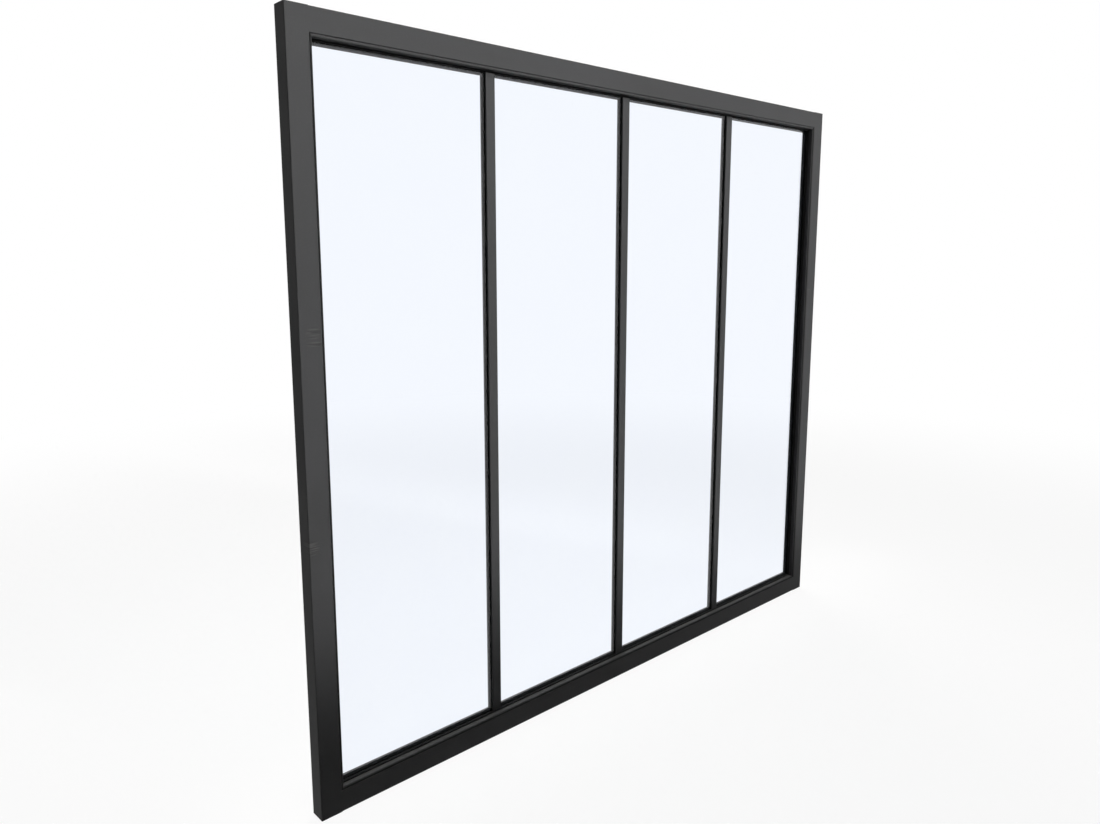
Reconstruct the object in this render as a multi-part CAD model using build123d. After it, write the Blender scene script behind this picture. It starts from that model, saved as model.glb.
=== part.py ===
from build123d import *
import os

os.makedirs("parts", exist_ok=True)

# Fixed interior window in black aluminium: a stepped hollow frame, slim
# vertical mullions and tall clear panes, glazed from the rear with clip-in beads.
#
# Frame of reference, in millimetres: +X to the right seen from the front,
# +Y from the front face towards the rear, +Z up. The origin is the middle of
# the underside of the bottom rail, at half the depth of the frame.
#
# Sections are drawn in a plane of their own: the first coordinate runs inwards
# from the outer edge of the frame (or sideways from the middle of a mullion),
# the second runs backwards from the front face.

# Overall size
window_width = 1230.0
window_height = 1080.0
frame_depth = 26.0
pane_count = 4

# Frame extrusion
face_width = 32.0
rebate_floor = 26.0
stop_width = 36.0
stop_setback = 1.5
frame_wall = 1.5
outer_arris = 1.5
face_arris = 1.2
rear_arris = 0.6
stop_rounding = 2.0

# Glass and what it is bedded in
glass_thickness = 4.0
glass_edge_gap = 4.0
front_gasket_thickness = 4.5
rear_gasket_thickness = 2.0
gasket_lip = 2.0
gasket_edge_gap = 1.0
gasket_rounding = 0.7
block_length = 60.0
setting_block_places = (0.25, 0.75)

# Mullion bars with their clip-on caps
mullion_width = 17.0
mullion_flange = 2.0
mullion_tape = 1.3
mullion_arris = 0.8
web_thickness = 3.0
web_edge_gap = 2.5
barb_depth = 0.4
barb_length = 0.9
hook_setback = 0.6

# Clip-in beads and caps
clip_wall = 1.3
clip_clearance = 0.1
bead_overlap = 3.5
cap_overlap = 2.0
bead_setback = 1.0
bead_depth = 4.5
bead_rounding = 0.8
tongue_thickness = 1.4
tongue_depth = 2.2
groove_wall = 1.3

# End plugs of the stiles
plug_thickness = 2.0
plug_skirt_depth = 12.0
plug_skirt_wall = 1.2
plug_clearance = 0.1

# How near a corner must be to the point that names it
point_tolerance = 0.0001

# Depths behind the front face, worked out from the rear of the frame forwards
clip_back = frame_depth - bead_setback
bead_front = clip_back - bead_depth
glass_back = bead_front - rear_gasket_thickness
glass_front = glass_back - glass_thickness
stop_back = glass_front - front_gasket_thickness
flange_back = glass_front - mullion_tape
flange_front = flange_back - mullion_flange
web_back = clip_back - clip_wall - clip_clearance

# Widths worked out from the section
sight_width = stop_width + gasket_lip
bead_width = sight_width + bead_overlap
glass_edge = rebate_floor + glass_edge_gap
half_width = window_width / 2
half_mullion = mullion_width / 2
half_cap = half_mullion + cap_overlap
half_web = web_thickness / 2
daylight_width = (window_width - 2 * stop_width - (pane_count - 1) * mullion_width) / pane_count
mullion_pitch = daylight_width + mullion_width
mullion_centres = [
    -half_width + stop_width + daylight_width + half_mullion + index * mullion_pitch
    for index in range(pane_count - 1)
]
groove_middle = bead_front + bead_depth / 2
groove_depth = tongue_depth + clip_clearance
hook_front = bead_front + hook_setback


def block(first_start, first_end, second_start, second_end):
    """Rectangle of a section between two inward and two backward distances."""
    middle = Pos((first_start + first_end) / 2, (second_start + second_end) / 2)
    return middle * Rectangle(first_end - first_start, second_end - second_start)


def round_corner(section, first, second, radius):
    """Round the section's corner at one point."""
    corner = [
        vertex
        for vertex in section.vertices()
        if abs(vertex.X - first) < point_tolerance and abs(vertex.Y - second) < point_tolerance
    ]
    return fillet(corner, radius)


def upright(section, start, end):
    """Extrude a section upwards between two heights, inward distance along +X."""
    return Pos(0, -frame_depth / 2, start) * extrude(section, end - start)


def lying(section, start, end):
    """Extrude a section along X between two places, inward distance along +Z."""
    plane = Plane(origin=(end, -frame_depth / 2, 0), x_dir=(0, 0, 1), z_dir=(-1, 0, 0))
    return extrude(plane * section, end - start)


def at_left(solid):
    """Put a piece drawn from the outer edge at the left side of the window."""
    return Pos(-half_width, 0, 0) * solid


def at_top(solid):
    """Mirror a piece of the bottom side to the top of the window."""
    return mirror(solid, Plane.XY.offset(window_height / 2))


def frame_section():
    """Stepped hollow profile: main tube, glazing stop in front and bead groove."""
    section = block(0, rebate_floor, 0, frame_depth)
    section += block(rebate_floor, face_width, 0, stop_back)
    section += block(face_width, stop_width, stop_setback, stop_back)
    section = round_corner(section, 0, 0, outer_arris)
    section = round_corner(section, face_width, 0, face_arris)
    section = round_corner(section, stop_width, stop_setback, stop_rounding)
    section = round_corner(section, 0, frame_depth, rear_arris)
    section = round_corner(section, rebate_floor, frame_depth, rear_arris)
    return section - tube_chamber() - stop_chamber() - bead_groove()


def tube_chamber():
    """Hollow of the main tube, clear of the walls round the bead groove."""
    chamber = block(frame_wall, rebate_floor - frame_wall, frame_wall, frame_depth - frame_wall)
    groove_half = tongue_thickness / 2 + clip_clearance + groove_wall
    return chamber - block(
        rebate_floor - groove_depth - groove_wall,
        rebate_floor,
        groove_middle - groove_half,
        groove_middle + groove_half,
    )


def stop_chamber():
    """Small hollow of the glazing stop, one wall in front of the tube."""
    return block(
        rebate_floor,
        stop_width - frame_wall,
        stop_setback + frame_wall,
        stop_back - frame_wall,
    )


def bead_groove():
    """Groove in the rebate floor that takes the tongue of a bead."""
    half = tongue_thickness / 2 + clip_clearance
    return block(rebate_floor - groove_depth, rebate_floor, groove_middle - half, groove_middle + half)


def bead_section():
    """Hollow clip-in bead with a rounded sight edge and its tongue."""
    section = block(rebate_floor, bead_width, bead_front, clip_back)
    section = round_corner(section, bead_width, clip_back, bead_rounding)
    section -= block(
        rebate_floor + clip_wall,
        bead_width - clip_wall,
        bead_front + clip_wall,
        clip_back - clip_wall,
    )
    tongue_half = tongue_thickness / 2
    return section + block(
        rebate_floor - tongue_depth,
        rebate_floor,
        groove_middle - tongue_half,
        groove_middle + tongue_half,
    )


def front_gasket_section():
    """Gasket behind the glazing stop, its lip standing past the stop."""
    section = block(rebate_floor + gasket_edge_gap, sight_width, stop_back, glass_front)
    return round_corner(section, sight_width, stop_back, gasket_rounding)


def mullion_section():
    """Bar of a mullion: front flange, web between the panes and its barbs."""
    section = block(-half_mullion, half_mullion, flange_front, flange_back)
    section = round_corner(section, -half_mullion, flange_front, mullion_arris)
    section = round_corner(section, half_mullion, flange_front, mullion_arris)
    section += block(-half_web, half_web, flange_back, web_back)
    barb = half_web + barb_depth
    return section + block(-barb, barb, web_back - barb_length, web_back)


def cap_section():
    """Clip-on rear cap of a mullion: channel with two hooked prongs."""
    section = block(-half_cap, half_cap, bead_front, clip_back)
    section = round_corner(section, -half_cap, clip_back, bead_rounding)
    section = round_corner(section, half_cap, clip_back, bead_rounding)
    inside = half_cap - clip_wall
    section -= block(-inside, inside, bead_front, clip_back - clip_wall)
    hook = half_web + clip_clearance
    prong = hook + barb_depth
    hook_back = web_back - barb_length - clip_clearance
    section += block(prong, prong + clip_wall, hook_front, clip_back - clip_wall)
    section += block(-prong - clip_wall, -prong, hook_front, clip_back - clip_wall)
    section += block(hook, prong, hook_front, hook_back)
    return section + block(-prong, -hook, hook_front, hook_back)


def corner_prism(points):
    """Prism through the depth of the glazing stop, from points given as (X, Z)."""
    outline = make_face(Plane.XZ * Polyline(*points, close=True))
    front = -frame_depth / 2
    return Pos(0, front, 0) * extrude(outline, stop_back, dir=(0, 1, 0))


def make_stile():
    """Full-height left upright, its stop mitred where the rails' stops meet it."""
    stile = at_left(upright(frame_section(), 0, window_height))
    inner = -half_width + face_width
    edge = -half_width + stop_width
    mitre = corner_prism([(inner, 0), (edge, 0), (edge, stop_width), (inner, face_width)])
    return stile - mitre - at_top(mitre)


def make_rail():
    """Bottom rail, its front butted between the stiles, its rear on their rebate."""
    end = half_width - rebate_floor
    rail = lying(frame_section(), -end, end)
    shoulder = corner_prism([
        (-end, 0),
        (-half_width + face_width, 0),
        (-half_width + face_width, face_width),
        (-half_width + stop_width, stop_width),
        (-end, stop_width),
    ])
    return rail - shoulder - mirror(shoulder, Plane.YZ)


def make_side_bead():
    """Vertical rear bead of the left side, full height between the rails."""
    return at_left(upright(bead_section(), rebate_floor, window_height - rebate_floor))


def make_bay_bead(start, end):
    """Bottom rear bead of one bay, between its neighbours."""
    return lying(bead_section(), start, end)


def make_side_gasket():
    """Vertical front gasket of the left side, between the top and bottom ones."""
    return at_left(upright(front_gasket_section(), sight_width, window_height - sight_width))


def make_bottom_gasket():
    """Bottom front gasket, notched round the feet of the mullions."""
    end = half_width - rebate_floor - gasket_edge_gap
    gasket = lying(front_gasket_section(), -end, end)
    for centre in mullion_centres:
        notch = block(-half_mullion, half_mullion, flange_front, glass_front)
        gasket -= Pos(centre, 0, 0) * upright(notch, rebate_floor, sight_width)
    return gasket


def make_mullion(centre):
    """Bar of one mullion, from rebate to rebate."""
    bar = upright(mullion_section(), rebate_floor, window_height - rebate_floor)
    return Pos(centre, 0, 0) * bar


def make_mullion_cap(centre):
    """Rear cap of one mullion, from rebate to rebate."""
    cap = upright(cap_section(), rebate_floor, window_height - rebate_floor)
    return Pos(centre, 0, 0) * cap


def make_mullion_tapes(centre):
    """The two gasket strips between a mullion's flange and the panes beside it."""
    strip = block(half_web + web_edge_gap, half_mullion, flange_back, glass_front)
    strip = upright(strip, glass_edge, window_height - glass_edge)
    return Pos(centre, 0, 0) * (strip + mirror(strip, Plane.YZ))


def make_pane(start, end):
    """One sheet of glass between two side edges."""
    sheet = block(start, end, glass_front, glass_back)
    return upright(sheet, glass_edge, window_height - glass_edge)


def make_rear_gasket(glass_start, glass_end, sight_start, sight_end):
    """Rear gasket of one pane: a ring between the glass and the beads."""
    ring = upright(
        block(glass_start, glass_end, glass_back, bead_front),
        glass_edge,
        window_height - glass_edge,
    )
    return ring - upright(
        block(sight_start, sight_end, glass_back, bead_front),
        sight_width,
        window_height - sight_width,
    )


def make_setting_blocks(panes):
    """Two blocks under every pane that carry it clear of the bottom rail."""
    blocks = []
    for start, end in panes:
        for share in setting_block_places:
            middle = start + share * (end - start)
            piece = block(middle - block_length / 2, middle + block_length / 2, glass_front, bead_front)
            blocks.append(upright(piece, rebate_floor, glass_edge))
    return Compound(children=blocks)


def make_plug():
    """Push-in plug of the left stile's foot: a flush plate with a hollow skirt."""
    outline = offset(tube_chamber(), -plug_clearance)
    plug = upright(outline, 0, plug_thickness)
    skirt = outline - offset(outline, -plug_skirt_wall)
    return at_left(plug + upright(skirt, plug_thickness, plug_skirt_depth))


def export(name, shape):
    """Write one piece of the window under its name."""
    shape.label = name
    export_step(shape, f"parts/{name}.step")


# Outer frame
stile = make_stile()
rail = make_rail()
export("left_stile", stile)
export("right_stile", mirror(stile, Plane.YZ))
export("bottom_rail", rail)
export("top_rail", at_top(rail))

# Plugs in the ends of the stiles
plug = make_plug()
export("left_bottom_plug", plug)
export("right_bottom_plug", mirror(plug, Plane.YZ))
export("left_top_plug", at_top(plug))
export("right_top_plug", at_top(mirror(plug, Plane.YZ)))

# Front gaskets behind the glazing stop
side_gasket = make_side_gasket()
bottom_gasket = make_bottom_gasket()
export("left_front_gasket", side_gasket)
export("right_front_gasket", mirror(side_gasket, Plane.YZ))
export("bottom_front_gasket", bottom_gasket)
export("top_front_gasket", at_top(bottom_gasket))

# Mullions with their caps and tapes
for number, centre in enumerate(mullion_centres, start=1):
    export(f"mullion_{number}", make_mullion(centre))
    export(f"mullion_{number}_cap", make_mullion_cap(centre))
    export(f"mullion_{number}_gaskets", make_mullion_tapes(centre))

# Side edges of the glass, of the front sight opening and of the beads, bay by bay
web_clearance = half_web + web_edge_gap
glass_starts = [-half_width + glass_edge] + [centre + web_clearance for centre in mullion_centres]
glass_ends = [centre - web_clearance for centre in mullion_centres] + [half_width - glass_edge]
sight_starts = [-half_width + sight_width] + [centre + half_mullion for centre in mullion_centres]
sight_ends = [centre - half_mullion for centre in mullion_centres] + [half_width - sight_width]
bead_starts = [-half_width + bead_width] + [centre + half_cap for centre in mullion_centres]
bead_ends = [centre - half_cap for centre in mullion_centres] + [half_width - bead_width]
bays = list(zip(glass_starts, glass_ends, sight_starts, sight_ends))

# Panes, rear gaskets and the beads above and below each pane
for number, (glass_start, glass_end, sight_start, sight_end) in enumerate(bays, start=1):
    export(f"glass_pane_{number}", make_pane(glass_start, glass_end))
    export(f"rear_gasket_{number}", make_rear_gasket(glass_start, glass_end, sight_start, sight_end))
for number, (bead_start, bead_end) in enumerate(zip(bead_starts, bead_ends), start=1):
    bead = make_bay_bead(bead_start, bead_end)
    export(f"bottom_bead_{number}", bead)
    export(f"top_bead_{number}", at_top(bead))
export("setting_blocks", make_setting_blocks(list(zip(glass_starts, glass_ends))))

# Beads along the stiles
side_bead = make_side_bead()
export("left_bead", side_bead)
export("right_bead", mirror(side_bead, Plane.YZ))
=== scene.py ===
# %% [markdown]
# # An interior window with four panes
#
# The window is a slim metal frame with three upright glazing bars, like the
# glass partitions that stand between a kitchen and a hall. Its solids were
# modelled first, piece by piece, and this lesson dresses them: it sets up the
# camera, the floor and the light, and then makes one finish after another.
# Everything is in metres. X runs to the right along the window, Y runs from
# its front to its rear, and Z is up, with the sill at zero.

# %% Load the window's solids
import math

import bmesh
import bpy
from mathutils import Matrix, Vector


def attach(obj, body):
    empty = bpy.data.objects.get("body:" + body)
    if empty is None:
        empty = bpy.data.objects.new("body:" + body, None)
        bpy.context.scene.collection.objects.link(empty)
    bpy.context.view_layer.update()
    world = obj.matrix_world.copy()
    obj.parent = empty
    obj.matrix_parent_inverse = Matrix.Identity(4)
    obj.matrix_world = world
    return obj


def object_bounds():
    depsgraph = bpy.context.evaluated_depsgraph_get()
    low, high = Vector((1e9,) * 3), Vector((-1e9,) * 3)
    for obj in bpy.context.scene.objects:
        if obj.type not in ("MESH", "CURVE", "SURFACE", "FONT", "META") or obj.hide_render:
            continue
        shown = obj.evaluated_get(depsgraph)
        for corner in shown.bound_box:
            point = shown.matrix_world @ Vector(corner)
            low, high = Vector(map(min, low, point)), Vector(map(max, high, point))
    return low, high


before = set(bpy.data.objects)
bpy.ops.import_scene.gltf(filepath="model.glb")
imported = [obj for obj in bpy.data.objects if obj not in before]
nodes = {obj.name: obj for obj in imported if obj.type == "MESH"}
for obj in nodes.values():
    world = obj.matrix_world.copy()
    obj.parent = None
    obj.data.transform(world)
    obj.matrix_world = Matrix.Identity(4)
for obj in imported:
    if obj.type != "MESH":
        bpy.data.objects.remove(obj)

cad_low, cad_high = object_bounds()
print("nodes", len(nodes), "size", [round(h - l, 4) for l, h in zip(cad_low, cad_high)])

# %% [markdown]
# ## The camera
#
# The picture was taken from the left, a little below the top rail, so the
# frame shrinks quickly towards the right. Such a strong perspective needs a
# short lens close to the window, and a long lens from far away could never
# give it. The upright edges of the picture lean only a little, so the camera
# looks down by a few degrees, and a small shift keeps the horizon in its place.

# %% Place the camera
picture_width_px, picture_height_px = 1100, 824
focal_px = 836.7
horizon_centre_px = (552.7, 385.0)
look_right_deg = 42.47
look_down_deg = 8.98

camera_data = bpy.data.cameras.new("picture_camera")
camera_data.sensor_width = 36
camera_data.lens = focal_px * camera_data.sensor_width / picture_width_px
camera_data.shift_x = (picture_width_px / 2 - horizon_centre_px[0]) / picture_width_px
camera_data.shift_y = (horizon_centre_px[1] - picture_height_px / 2) / picture_width_px
camera_data.clip_start = 0.05
camera = bpy.data.objects.new("picture_camera", camera_data)
camera.location = (-1.0908, -1.0079, 0.7821)
camera.rotation_euler = (math.radians(90 - look_down_deg), 0, math.radians(-look_right_deg))
bpy.context.scene.collection.objects.link(camera)
bpy.context.scene.camera = camera
bpy.context.scene.view_settings.view_transform = "Standard"
print("lens", round(camera_data.lens, 2), "mm, shift", round(camera_data.shift_y, 4))

# %% [markdown]
# ## Two helpers for finishes
#
# Colours are written as the hex values a screen shows, and a shader wants them
# linear, so one function turns them. Another adds a node with its settings,
# and links each input that is given a socket and not a value. A third gives
# the scale of a pattern from the size of its grains in millimetres, because
# every pattern here reads Object coordinates, which are metres.

# %% Colour, node and scale helpers
def linear_colour(hex_value):
    channels = [int(hex_value[i:i + 2], 16) / 255 for i in (0, 2, 4)]
    linear = [c / 12.92 if c <= 0.04045 else ((c + 0.055) / 1.055) ** 2.4 for c in channels]
    return (*linear, 1.0)


def add_node(material, kind, settings=None, inputs=None):
    tree = material.node_tree
    node = tree.nodes.new(kind)
    for name, value in (settings or {}).items():
        setattr(node, name, value)
    for socket, value in (inputs or {}).items():
        if isinstance(value, bpy.types.NodeSocket):
            tree.links.new(value, node.inputs[socket])
        else:
            node.inputs[socket].default_value = value
    return node


def grain_scale(size_mm):
    return 1000 / size_mm


def new_material(name):
    material = bpy.data.materials.new(name)
    material.use_nodes = True
    material.node_tree.nodes.clear()
    return material


print("near black", [round(c, 4) for c in linear_colour("232322")[:3]])

# %% [markdown]
# ## The floor and the background
#
# The floor is plain and pale. The picture shows the window on pure white, so
# rays from the camera, and the rays that metal and glass send on, see the floor
# mostly as white. Only a part of the real floor is mixed in near the window,
# which keeps its shadow, and that part fades out with the distance, so no edge
# shows where the floor meets the background. All other rays see a plain floor
# that throws a little light back up.

# %% Make the floor
floor_half_size = 30.0
shadow_share = 0.08
fade_start, fade_end = 1.2, 3.2

floor_mesh = bpy.data.meshes.new("studio_floor")
corners = [(x * floor_half_size, y * floor_half_size, 0) for x, y in ((-1, -1), (1, -1), (1, 1), (-1, 1))]
floor_mesh.from_pydata(corners, [], [(0, 1, 2, 3)])
floor = bpy.data.objects.new("studio_floor", floor_mesh)
bpy.context.scene.collection.objects.link(floor)

floor_paint = new_material("pale studio floor")
place = add_node(floor_paint, "ShaderNodeTexCoord")
distance = add_node(floor_paint, "ShaderNodeVectorMath", {"operation": "LENGTH"}, {
    0: place.outputs["Object"]})
white_share = add_node(floor_paint, "ShaderNodeMapRange", {"interpolation_type": "SMOOTHSTEP"}, {
    "Value": distance.outputs["Value"], "From Min": fade_start, "From Max": fade_end,
    "To Min": 1 - shadow_share, "To Max": 1.0})
rays = add_node(floor_paint, "ShaderNodeLightPath")
seen = add_node(floor_paint, "ShaderNodeMath", {"operation": "MAXIMUM"}, {
    0: rays.outputs["Is Camera Ray"], 1: rays.outputs["Is Glossy Ray"]})
seen = add_node(floor_paint, "ShaderNodeMath", {"operation": "MAXIMUM"}, {
    0: seen.outputs[0], 1: rays.outputs["Is Transmission Ray"]})
share = add_node(floor_paint, "ShaderNodeMath", {"operation": "MULTIPLY"}, {
    0: seen.outputs[0], 1: white_share.outputs[0]})
speckle = add_node(floor_paint, "ShaderNodeTexNoise", inputs={
    "Vector": place.outputs["Object"], "Scale": grain_scale(40), "Detail": 3.0})
pale = add_node(floor_paint, "ShaderNodeMix", {"data_type": "RGBA"}, {
    0: speckle.outputs["Fac"], 6: linear_colour("DCDCDA"), 7: linear_colour("E4E4E2")})
real_floor = add_node(floor_paint, "ShaderNodeBsdfPrincipled", inputs={
    "Base Color": pale.outputs[2], "Roughness": 0.8, "Specular IOR Level": 0.2})
white_floor = add_node(floor_paint, "ShaderNodeEmission", inputs={"Color": (1, 1, 1, 1), "Strength": 1.0})
both = add_node(floor_paint, "ShaderNodeMixShader", inputs={
    0: share.outputs[0], 1: real_floor.outputs[0], 2: white_floor.outputs[0]})
add_node(floor_paint, "ShaderNodeOutputMaterial", inputs={"Surface": both.outputs[0]})
floor_mesh.materials.append(floor_paint)
print("floor", floor_half_size * 2, "m wide, real floor share near the window", shadow_share)

# %% Light the background
world = bpy.data.worlds.new("studio")
bpy.context.scene.world = world
world.use_nodes = True
world.node_tree.nodes.clear()
rays = add_node(world, "ShaderNodeLightPath")
seen = add_node(world, "ShaderNodeMath", {"operation": "MAXIMUM"}, {
    0: rays.outputs["Is Camera Ray"], 1: rays.outputs["Is Glossy Ray"]})
seen = add_node(world, "ShaderNodeMath", {"operation": "MAXIMUM"}, {
    0: seen.outputs[0], 1: rays.outputs["Is Transmission Ray"]})
room_light = 0.07
strength = add_node(world, "ShaderNodeMapRange", inputs={
    "Value": seen.outputs[0], "To Min": room_light, "To Max": 1.0})
sky = add_node(world, "ShaderNodeBackground", inputs={
    "Color": (1, 1, 1, 1), "Strength": strength.outputs[0]})
add_node(world, "ShaderNodeOutputWorld", inputs={"Surface": sky.outputs[0]})
print("room light", room_light)

# %% [markdown]
# ## The lamps
#
# The front faces of the picture are grey down to a hand's width above the
# floor and nearly black below, while the side of the left stile stays dark.
# Light that spreads in all directions can't do that. A softbox with a
# honeycomb grid can: its light leaves as a wide soft beam, here as broad as the
# window, that ends above the floor and comes from the right, so it passes the
# left stile's side. The lamp is turned so that the edges of its beam lie nearly
# level on the window, a little lower on the right. A weak strip lamp over the top rail adds the
# light that the ceiling gives there. A narrow lamp hangs straight above the
# window, so it lights the ledges that face up and hardly touches the fronts.
# The last softbox stands behind, high enough to stay out of the picture, so
# the beads and caps of the rear show their shapes too.

# %% Hang the lamps
def hang_lamp(name, place, target, width, height, watts, beam_deg, lean=0.0):
    data = bpy.data.lights.new(name, "AREA")
    data.shape = "RECTANGLE"
    data.size = width
    data.size_y = height
    data.energy = watts
    data.spread = math.radians(beam_deg)
    lamp = bpy.data.objects.new(name, data)
    aim = (Vector(target) - Vector(place)).normalized()
    level = Vector((1, 0, -lean))
    across = (level - aim * level.dot(aim)).normalized()
    turn = Matrix((across, across.cross(aim), -aim)).transposed().to_4x4()
    lamp.matrix_world = Matrix.Translation(place) @ turn
    bpy.context.scene.collection.objects.link(lamp)
    print(name, watts, "W at", place)
    return lamp


hang_lamp("gridded_softbox", (0.6, -1.72, 1.30), (0.03, 0.0, 0.76), 1.8, 1.12, 11.2, 9, lean=0.08)
hang_lamp("top_rail_lamp", (0.6, -0.9, 1.9), (0.35, 0.0, 1.06), 1.6, 0.3, 1.7, 36)
hang_lamp("ledge_lamp", (0.1, -0.16, 2.7), (0.1, -0.01, 0.04), 1.7, 0.2, 0.6, 8)
hang_lamp("rear_softbox", (0.9, 1.25, 2.3), (0.0, 0.0, 0.5), 1.5, 0.8, 13.0, 70)

# %% [markdown]
# ## Satin powder coat on aluminium
#
# The profiles are aluminium sprayed with black powder and baked. The powder
# melts into a tough film that is never quite flat: it has a fine orange peel
# about a millimetre or two across, which breaks up reflections into a soft
# satin. Real peel would be too fine to show at this distance, so here it is
# drawn a little coarser. Handling leaves faint cloudy marks, and a thin
# greyish dust lies on the ledges that face up.

# %% Mix the powder coat
peel_mm = 2.6
cloud_mm = 140
coat = new_material("satin black powder coat on aluminium")
place = add_node(coat, "ShaderNodeTexCoord").outputs["Object"]
peel = add_node(coat, "ShaderNodeTexNoise", inputs={
    "Vector": place, "Scale": grain_scale(peel_mm), "Detail": 2.0, "Roughness": 0.5})
clouds = add_node(coat, "ShaderNodeTexNoise", inputs={
    "Vector": place, "Scale": grain_scale(cloud_mm), "Detail": 4.0, "Roughness": 0.6})
black = add_node(coat, "ShaderNodeMix", {"data_type": "RGBA"}, {
    0: clouds.outputs["Fac"], 6: linear_colour("2A2A2A"), 7: linear_colour("353536")})
grain = add_node(coat, "ShaderNodeMapRange", inputs={
    "Value": peel.outputs["Fac"], "From Min": 0.55, "From Max": 0.8, "To Min": 0.0, "To Max": 0.16})
black = add_node(coat, "ShaderNodeMix", {"data_type": "RGBA"}, {
    0: grain.outputs[0], 6: black.outputs[2], 7: linear_colour("444445")})
facing = add_node(coat, "ShaderNodeSeparateXYZ", inputs={
    0: add_node(coat, "ShaderNodeNewGeometry").outputs["Normal"]})
ledge = add_node(coat, "ShaderNodeMapRange", inputs={
    "Value": facing.outputs["Z"], "From Min": 0.6, "From Max": 1.0, "To Min": 0.0, "To Max": 0.22})
lint = add_node(coat, "ShaderNodeTexNoise", inputs={
    "Vector": place, "Scale": grain_scale(9), "Detail": 5.0, "Roughness": 0.7})
dust = add_node(coat, "ShaderNodeMath", {"operation": "MULTIPLY"}, {
    0: ledge.outputs[0], 1: lint.outputs["Fac"]})
coloured = add_node(coat, "ShaderNodeMix", {"data_type": "RGBA"}, {
    0: dust.outputs[0], 6: black.outputs[2], 7: linear_colour("8C8A85")})
print("powder coat: peel", peel_mm, "mm, clouds", cloud_mm, "mm")

# %% [markdown]
# The picture shows a few places where something hard brushed the frame and
# left fine level lines, dark and light by turns. Each place is a soft ball of
# its own size, made by a Mapping node that centres a round gradient on it, and
# one noise, stretched far along X and squeezed in Z, draws the lines in all of
# them.

# %% Rub a few scuffs into the coat
scuff_places = (
    ((-0.595, -0.013, 0.680), (0.012, 0.02, 0.009)),
    ((-0.594, -0.013, 0.666), (0.015, 0.02, 0.004)),
    ((-0.611, -0.013, 0.396), (0.012, 0.02, 0.013)),
    ((0.560, -0.013, 0.710), (0.008, 0.02, 0.005)),
    ((0.592, -0.013, 0.700), (0.010, 0.02, 0.005)),
)
rubbed = None
for centre, reach in scuff_places:
    ball = add_node(coat, "ShaderNodeTexGradient", {"gradient_type": "SPHERICAL"}, {
        "Vector": add_node(coat, "ShaderNodeMapping", inputs={
            "Vector": place, "Location": [-c / r for c, r in zip(centre, reach)],
            "Scale": [1 / r for r in reach]}).outputs[0]})
    rubbed = ball.outputs["Fac"] if rubbed is None else add_node(
        coat, "ShaderNodeMath", {"operation": "MAXIMUM"}, {0: rubbed, 1: ball.outputs["Fac"]}).outputs[0]
rub_share = add_node(coat, "ShaderNodeMapRange", inputs={
    "Value": rubbed, "From Min": 0.0, "From Max": 0.5, "To Min": 0.0, "To Max": 0.32})
streaks = add_node(coat, "ShaderNodeTexNoise", inputs={
    "Vector": add_node(coat, "ShaderNodeMapping", inputs={
        "Vector": place, "Scale": (grain_scale(40), 1.0, grain_scale(2.4))}).outputs[0],
    "Scale": 1.0, "Detail": 1.0})
streak_step = add_node(coat, "ShaderNodeMapRange", inputs={
    "Value": streaks.outputs["Fac"], "From Min": 0.42, "From Max": 0.58})
streak_colour = add_node(coat, "ShaderNodeMix", {"data_type": "RGBA"}, {
    0: streak_step.outputs[0], 6: linear_colour("161616"), 7: linear_colour("4C4C4A")})
coloured = add_node(coat, "ShaderNodeMix", {"data_type": "RGBA"}, {
    0: rub_share.outputs[0], 6: coloured.outputs[2], 7: streak_colour.outputs[2]})
print("scuffed places", len(scuff_places))

# %% [markdown]
# The film is satin, so its roughness sits near the middle and swings a little
# with the clouds, and the peel gives the bump. A black powder coat mirrors very
# little of a white room, so its specular level stays far below the usual half.

# %% Finish the powder coat
gloss = add_node(coat, "ShaderNodeMapRange", inputs={
    "Value": clouds.outputs["Fac"], "From Min": 0.3, "From Max": 0.7, "To Min": 0.50, "To Max": 0.60})
skin = add_node(coat, "ShaderNodeBump", inputs={
    "Strength": 0.18, "Distance": 0.0003, "Height": peel.outputs["Fac"]})
surface = add_node(coat, "ShaderNodeBsdfPrincipled", inputs={
    "Base Color": coloured.outputs[2], "Roughness": gloss.outputs[0], "IOR": 1.5,
    "Specular IOR Level": 0.07, "Normal": skin.outputs[0]})
add_node(coat, "ShaderNodeOutputMaterial", inputs={"Surface": surface.outputs[0]})
print("powder coat: roughness 0.50 to 0.60 with the clouds")

# %% [markdown]
# ## Black anodised aluminium, darkened with painted shade
#
# The caps that clip on behind the glazing bars are made darker than the coated
# frame beside them. They are extrusions too, anodised: an acid bath grows a
# hard skin on the metal. Their near black is partly that finish and partly
# painted shade, which stands in for the shade on the caps' sides. It stays a
# metal, so what it mirrors takes its own near black, and the die's fine lines
# run along it. One noise, stretched a hundred times along Z, draws them.

# %% Mix the anodised black, darkened with painted shade
die_line_mm = 0.9
anodised = new_material("black anodised aluminium with painted shade")
place = add_node(anodised, "ShaderNodeTexCoord").outputs["Object"]
along = add_node(anodised, "ShaderNodeMapping", inputs={
    "Vector": place,
    "Scale": (grain_scale(die_line_mm), grain_scale(die_line_mm), grain_scale(100 * die_line_mm))})
lines = add_node(anodised, "ShaderNodeTexNoise", inputs={
    "Vector": along.outputs[0], "Scale": 1.0, "Detail": 2.0})
near_black_tone = add_node(anodised, "ShaderNodeTexNoise", inputs={
    "Vector": place, "Scale": grain_scale(70), "Detail": 3.0})
# The two near blacks are partly the anodised finish and partly painted shade for the caps' shaded sides.
black = add_node(anodised, "ShaderNodeMix", {"data_type": "RGBA"}, {
    0: near_black_tone.outputs["Fac"], 6: linear_colour("0E0E0F"), 7: linear_colour("161617")})
gloss = add_node(anodised, "ShaderNodeMapRange", inputs={
    "Value": lines.outputs["Fac"], "To Min": 0.42, "To Max": 0.55})
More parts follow.
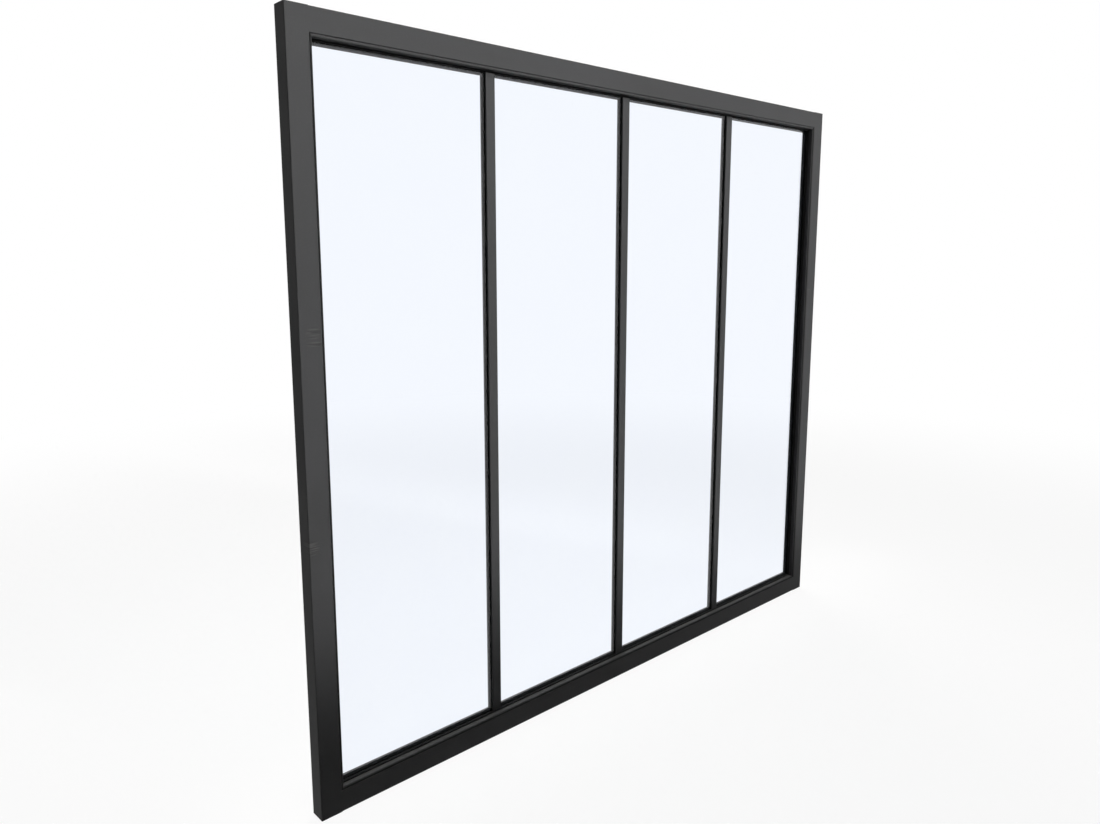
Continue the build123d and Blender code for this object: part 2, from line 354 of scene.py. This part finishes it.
skin = add_node(anodised, "ShaderNodeBump", inputs={
    "Strength": 0.2, "Distance": 0.0001, "Height": lines.outputs["Fac"]})
surface = add_node(anodised, "ShaderNodeBsdfPrincipled", inputs={
    "Base Color": black.outputs[2], "Metallic": 1.0, "Roughness": gloss.outputs[0],
    "Normal": skin.outputs[0]})
add_node(anodised, "ShaderNodeOutputMaterial", inputs={"Surface": surface.outputs[0]})
print("anodised black: die lines", die_line_mm, "mm")

# %% [markdown]
# ## Extruded rubber
#
# The gaskets are EPDM, the black rubber of window seals. It is pushed through
# a die, so its skin has faint lines along its length and no shine. It is the
# blackest part of the window, which draws a thin dark line round each pane.

# %% Mix the rubber
rubber = new_material("extruded black EPDM rubber")
place = add_node(rubber, "ShaderNodeTexCoord").outputs["Object"]
grit = add_node(rubber, "ShaderNodeTexNoise", inputs={
    "Vector": place, "Scale": grain_scale(1.5), "Detail": 3.0, "Roughness": 0.6})
bloom = add_node(rubber, "ShaderNodeTexNoise", inputs={
    "Vector": place, "Scale": grain_scale(60), "Detail": 4.0, "Roughness": 0.65})
black = add_node(rubber, "ShaderNodeMix", {"data_type": "RGBA"}, {
    0: bloom.outputs["Fac"], 6: linear_colour("090909"), 7: linear_colour("121211")})
gloss = add_node(rubber, "ShaderNodeMapRange", inputs={
    "Value": grit.outputs["Fac"], "To Min": 0.62, "To Max": 0.8})
skin = add_node(rubber, "ShaderNodeBump", inputs={
    "Strength": 0.3, "Distance": 0.0002, "Height": grit.outputs["Fac"]})
surface = add_node(rubber, "ShaderNodeBsdfPrincipled", inputs={
    "Base Color": black.outputs[2], "Roughness": gloss.outputs[0], "IOR": 1.5,
    "Specular IOR Level": 0.1, "Normal": skin.outputs[0]})
add_node(rubber, "ShaderNodeOutputMaterial", inputs={"Surface": surface.outputs[0]})
print("rubber: grit 1.5 mm, bloom 60 mm")

# %% [markdown]
# ## Float glass
#
# Window glass is floated on molten tin, which makes it nearly flat. What is
# left are slow waves a hand's width or more long from the tempering rollers,
# and they show only as a slight swing in reflections. The picture shows each
# pane with a very faint cool blue over the white behind it, so the colour that
# passes through is just off white. A thin film left by cleaning makes the
# surface a trace less sharp in cloudy places.

# %% Mix the glass
wave_mm = 320
glass = new_material("clear float glass")
place = add_node(glass, "ShaderNodeTexCoord").outputs["Object"]
waves = add_node(glass, "ShaderNodeTexNoise", inputs={
    "Vector": place, "Scale": grain_scale(wave_mm), "Detail": 1.0})
film = add_node(glass, "ShaderNodeTexNoise", inputs={
    "Vector": place, "Scale": grain_scale(90), "Detail": 4.0, "Roughness": 0.6})
tint = add_node(glass, "ShaderNodeMix", {"data_type": "RGBA"}, {
    0: film.outputs["Fac"], 6: linear_colour("F3F7FF"), 7: linear_colour("F5F9FF")})
gloss = add_node(glass, "ShaderNodeMapRange", inputs={
    "Value": film.outputs["Fac"], "From Min": 0.45, "From Max": 0.75, "To Min": 0.0, "To Max": 0.03})
skin = add_node(glass, "ShaderNodeBump", inputs={
    "Strength": 0.15, "Distance": 0.0004, "Height": waves.outputs["Fac"]})
surface = add_node(glass, "ShaderNodeBsdfPrincipled", inputs={
    "Base Color": tint.outputs[2], "Roughness": gloss.outputs[0], "IOR": 1.52,
    "Transmission Weight": 1.0, "Normal": skin.outputs[0]})
add_node(glass, "ShaderNodeOutputMaterial", inputs={"Surface": surface.outputs[0]})
print("glass: waves", wave_mm, "mm")

# %% [markdown]
# ## Moulded nylon and polypropylene
#
# The plugs that close the frame tubes are moulded nylon with a fine spark
# eroded grain. The blocks that carry the glass are plain moulded
# polypropylene, a little greyer and waxier, and they hide inside the rebate.

# %% Mix the two plastics
plastics = {}
for name, dark, light, grain_mm, rough in (
    ("moulded black nylon", "161616", "202020", 1.2, 0.5),
    ("moulded grey polypropylene", "4A4C4E", "5A5C5E", 2.0, 0.42),
):
    plastic = new_material(name)
    place = add_node(plastic, "ShaderNodeTexCoord").outputs["Object"]
    grain = add_node(plastic, "ShaderNodeTexNoise", inputs={
        "Vector": place, "Scale": grain_scale(grain_mm), "Detail": 3.0, "Roughness": 0.6})
    flow = add_node(plastic, "ShaderNodeTexNoise", inputs={
        "Vector": place, "Scale": grain_scale(25), "Detail": 3.0})
    shade = add_node(plastic, "ShaderNodeMix", {"data_type": "RGBA"}, {
        0: flow.outputs["Fac"], 6: linear_colour(dark), 7: linear_colour(light)})
    gloss = add_node(plastic, "ShaderNodeMapRange", inputs={
        "Value": flow.outputs["Fac"], "To Min": rough - 0.06, "To Max": rough + 0.08})
    skin = add_node(plastic, "ShaderNodeBump", inputs={
        "Strength": 0.3, "Distance": 0.0002, "Height": grain.outputs["Fac"]})
    surface = add_node(plastic, "ShaderNodeBsdfPrincipled", inputs={
        "Base Color": shade.outputs[2], "Roughness": gloss.outputs[0], "IOR": 1.5,
        "Normal": skin.outputs[0]})
    add_node(plastic, "ShaderNodeOutputMaterial", inputs={"Surface": surface.outputs[0]})
    plastics[name] = plastic
print("plastics", sorted(plastics))

# %% [markdown]
# ## Dressing the solids
#
# Each solid keeps its shape and place and only changes its finish. The names
# say what a piece is, so a short table of words is enough to pick the finish.

# %% Give each piece its finish
finish_words = (
    ("gasket", rubber),
    ("glass", glass),
    ("cap", anodised),
    ("plug", plastics["moulded black nylon"]),
    ("setting", plastics["moulded grey polypropylene"]),
)
counts = {}
for name, node in nodes.items():
    finish = next((material for word, material in finish_words if word in name), coat)
    node.data.materials.clear()
    node.data.materials.append(finish)
    counts[finish.name] = counts.get(finish.name, 0) + 1
print(counts)

# %% [markdown]
# ## The cord of painted shade in the step
#
# Where the frame's face steps back to the glazing stop, a thin black line runs
# along the two stiles and the sill. It is painted shade: a cord of black rubber
# laid into the step, standing in for the shade of a shadow gap there. Its
# profile is a small D that stands on the stop and leans on the step's wall. Its
# outline is written in millimetres from the foot of that wall. The cord is one
# profile carried along the three sides, and it turns each lower corner on a
# mitre, so the profile is extruded three times and each new end is set on its mitre.

# %% A helper for new pieces
def dress_piece(name, shape, finish):
    bmesh.ops.recalc_face_normals(shape, faces=shape.faces)
    mesh = bpy.data.meshes.new(name)
    shape.to_mesh(mesh)
    shape.free()
    mesh.materials.append(finish)
    piece = bpy.data.objects.new(name, mesh)
    bpy.context.scene.collection.objects.link(piece)
    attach(piece, "root")
    xs, ys, zs = zip(*(vertex.co for vertex in mesh.vertices))
    print(name, "faces", len(mesh.polygons), "x", round(min(xs), 4), round(max(xs), 4),
          "y", round(min(ys), 4), round(max(ys), 4), "z", round(min(zs), 4), round(max(zs), 4))
    return piece


# %% Lay the cord of painted shade in the step
frame_half_width, front, frame_height = cad_high[0], cad_low[1], cad_high[2]
face_width = 0.032
joint_x = frame_half_width - face_width
stop_setback = 0.0015
shade_cord_outline_mm = ((0, 0), (0, 0.3), (0.15, 0.7), (0.7, 1.0), (1.5, 0.95), (2.15, 0.55), (2.4, 0))
shade_cord_profile = [(face_width + inward / 1000, front + stop_setback - proud / 1000)
                for inward, proud in shade_cord_outline_mm]


def shade_cord_end(side, inward, depth, at_sill):
    height = inward if at_sill else frame_height - face_width
    return Vector((side * (frame_half_width - inward), depth, height))


# The black cord is painted shade: it stands in for the shade of a shadow gap in the step.
shade_cord_shape = bmesh.new()
section = [shade_cord_shape.verts.new(shade_cord_end(-1, inward, depth, False)) for inward, depth in shade_cord_profile]
end_face = shade_cord_shape.faces.new(section)
for side, at_sill in ((-1, True), (1, True), (1, False)):
    grown = bmesh.ops.extrude_face_region(shade_cord_shape, geom=[end_face])["geom"]
    end_face = next(part for part in grown if isinstance(part, bmesh.types.BMFace))
    for corner, (inward, depth) in zip(end_face.verts, shade_cord_profile):
        corner.co = shade_cord_end(side, inward, depth, at_sill)
dress_piece("painted_shade_cord", shade_cord_shape, rubber)

# %% [markdown]
# ## Dressed joints
#
# The rails meet the stiles in square butt joints. The stiles' faces are
# rounded along their edges, which would leave a small groove down each joint,
# but the picture shows the four corners as one smooth sheet: the joints were
# filled and rubbed down before the coat was sprayed. Each fill is the sliver
# between the rounding and the rail's end. A vertex spun through a right angle
# draws the rounding, one corner closes the profile, and it is extruded up the
# joint. A copy goes to the top, and a mirror makes the two on the right.

# %% Fill the four joints
edge_round = 0.0012
outer_round = 0.0015
fill_low, fill_high = outer_round, face_width - edge_round

fill_shape = bmesh.new()
first = fill_shape.verts.new((-joint_x - edge_round, front, fill_low))
bmesh.ops.spin(fill_shape, geom=[first], cent=(-joint_x - edge_round, front + edge_round, fill_low),
               axis=(0, 0, 1), angle=math.radians(90), steps=5)
rounding = list(fill_shape.verts)
sliver = fill_shape.faces.new(rounding + [fill_shape.verts.new((-joint_x, front, fill_low))])
grown = bmesh.ops.extrude_face_region(fill_shape, geom=[sliver])["geom"]
bmesh.ops.translate(fill_shape, vec=(0, 0, fill_high - fill_low),
                    verts=[part for part in grown if isinstance(part, bmesh.types.BMVert)])
whole = list(fill_shape.verts) + list(fill_shape.edges) + list(fill_shape.faces)
copied = bmesh.ops.duplicate(fill_shape, geom=whole)["geom"]
bmesh.ops.translate(fill_shape, vec=(0, 0, frame_height - fill_high - fill_low),
                    verts=[part for part in copied if isinstance(part, bmesh.types.BMVert)])
whole = list(fill_shape.verts) + list(fill_shape.edges) + list(fill_shape.faces)
bmesh.ops.mirror(fill_shape, geom=whole, merge_dist=1e-6, axis="X")
dress_piece("joint_fills", fill_shape, coat)
